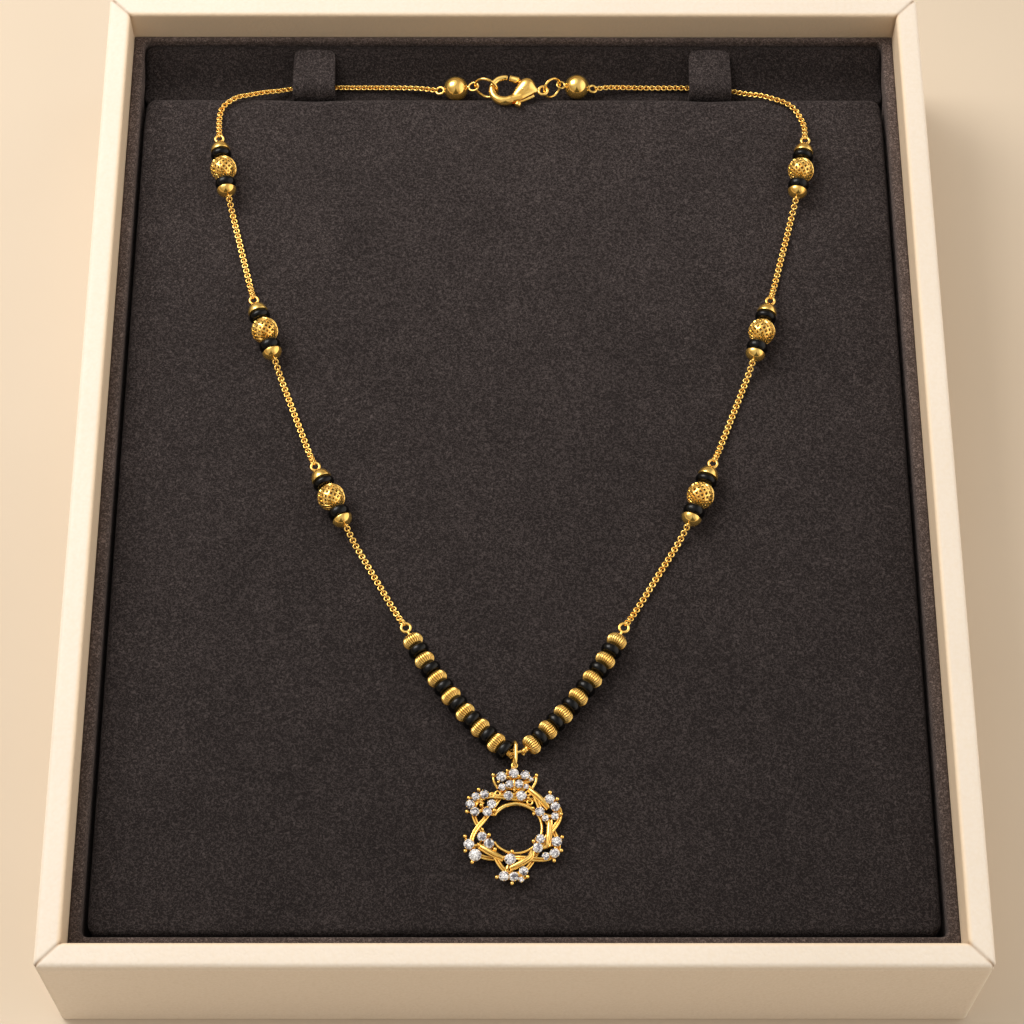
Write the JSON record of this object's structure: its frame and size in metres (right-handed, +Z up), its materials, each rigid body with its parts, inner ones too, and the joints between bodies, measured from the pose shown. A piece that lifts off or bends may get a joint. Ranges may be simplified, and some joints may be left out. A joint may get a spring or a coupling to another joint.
{
  "type": "beaded pendant necklace in display box",
  "caption": "Gold chain necklace with round black and gold beads, a woven wreath pendant set with clear stones, and a lobster clasp, laid on the suede pad of an open leather display box.",
  "frame": {"origin": "middle of the display box's flat base", "axes": "+Z up out of the open box, +Y towards the back of the box where the clasp lies, +X to the right seen from the front"},
  "size_m": [0.178, 0.22, 0.036],
  "materials": {
    "cream_leather": "fine pebble grain, satin",
    "dark_lining": "short suede nap, matte",
    "charcoal_suede": "short suede nap, matte, slightly mottled",
    "polished_gold": "polished yellow gold plate",
    "black_bead": "glossy black glass",
    "clear_stone": "faceted clear stone over a bright back"
  },
  "bodies": {
    "root": {"box_shell": "cream_leather", "liner_tray": "dark_lining", "display_pad": "charcoal_suede", "rear_cushion": "charcoal_suede", "tab_left": "charcoal_suede", "tab_right": "charcoal_suede", "chain_left_1": "polished_gold", "chain_left_2": "polished_gold", "chain_left_3": "polished_gold", "chain_left_4": "polished_gold", "chain_right_1": "polished_gold", "chain_right_2": "polished_gold", "chain_right_3": "polished_gold", "chain_right_4": "polished_gold", "station_left_1_frame": "polished_gold", "station_left_1_ball": "polished_gold", "station_left_1_beads": "black_bead", "station_left_2_frame": "polished_gold", "station_left_2_ball": "polished_gold", "station_left_2_beads": "black_bead", "station_left_3_frame": "polished_gold", "station_left_3_ball": "polished_gold", "station_left_3_beads": "black_bead", "station_right_1_frame": "polished_gold", "station_right_1_ball": "polished_gold", "station_right_1_beads": "black_bead", "station_right_2_frame": "polished_gold", "station_right_2_ball": "polished_gold", "station_right_2_beads": "black_bead", "station_right_3_frame": "polished_gold", "station_right_3_ball": "polished_gold", "station_right_3_beads": "black_bead", "strand_wire": "polished_gold", "strand_black_left": "black_bead", "strand_black_right": "black_bead", "gold_bead_left_1": "polished_gold", "gold_bead_left_2": "polished_gold", "gold_bead_left_3": "polished_gold", "gold_bead_left_4": "polished_gold", "gold_bead_left_5": "polished_gold", "gold_bead_left_6": "polished_gold", "gold_bead_left_7": "polished_gold", "gold_bead_right_1": "polished_gold", "gold_bead_right_2": "polished_gold", "gold_bead_right_3": "polished_gold", "gold_bead_right_4": "polished_gold", "gold_bead_right_5": "polished_gold", "gold_bead_right_6": "polished_gold", "gold_bead_right_7": "polished_gold", "end_ball_left": "polished_gold", "end_ball_right": "polished_gold", "jump_ring_left": "polished_gold", "jump_ring_right": "polished_gold", "clasp_body": "polished_gold", "pendant_bail": "polished_gold", "pendant_frame": "polished_gold", "pendant_stones": "clear_stone"},
    "lever": {"clasp_lever": "polished_gold"}
  },
  "joints": [
    {"name": "lever_hinge", "type": "hinge", "parent": "root", "child": "lever", "pos_m": [0.0021, 0.0906, 0.02809], "axis": [0, -0.1392, 0.9903], "range_deg": [0, 25], "stiffness_Nm_per_rad": 0.002}
  ]
}
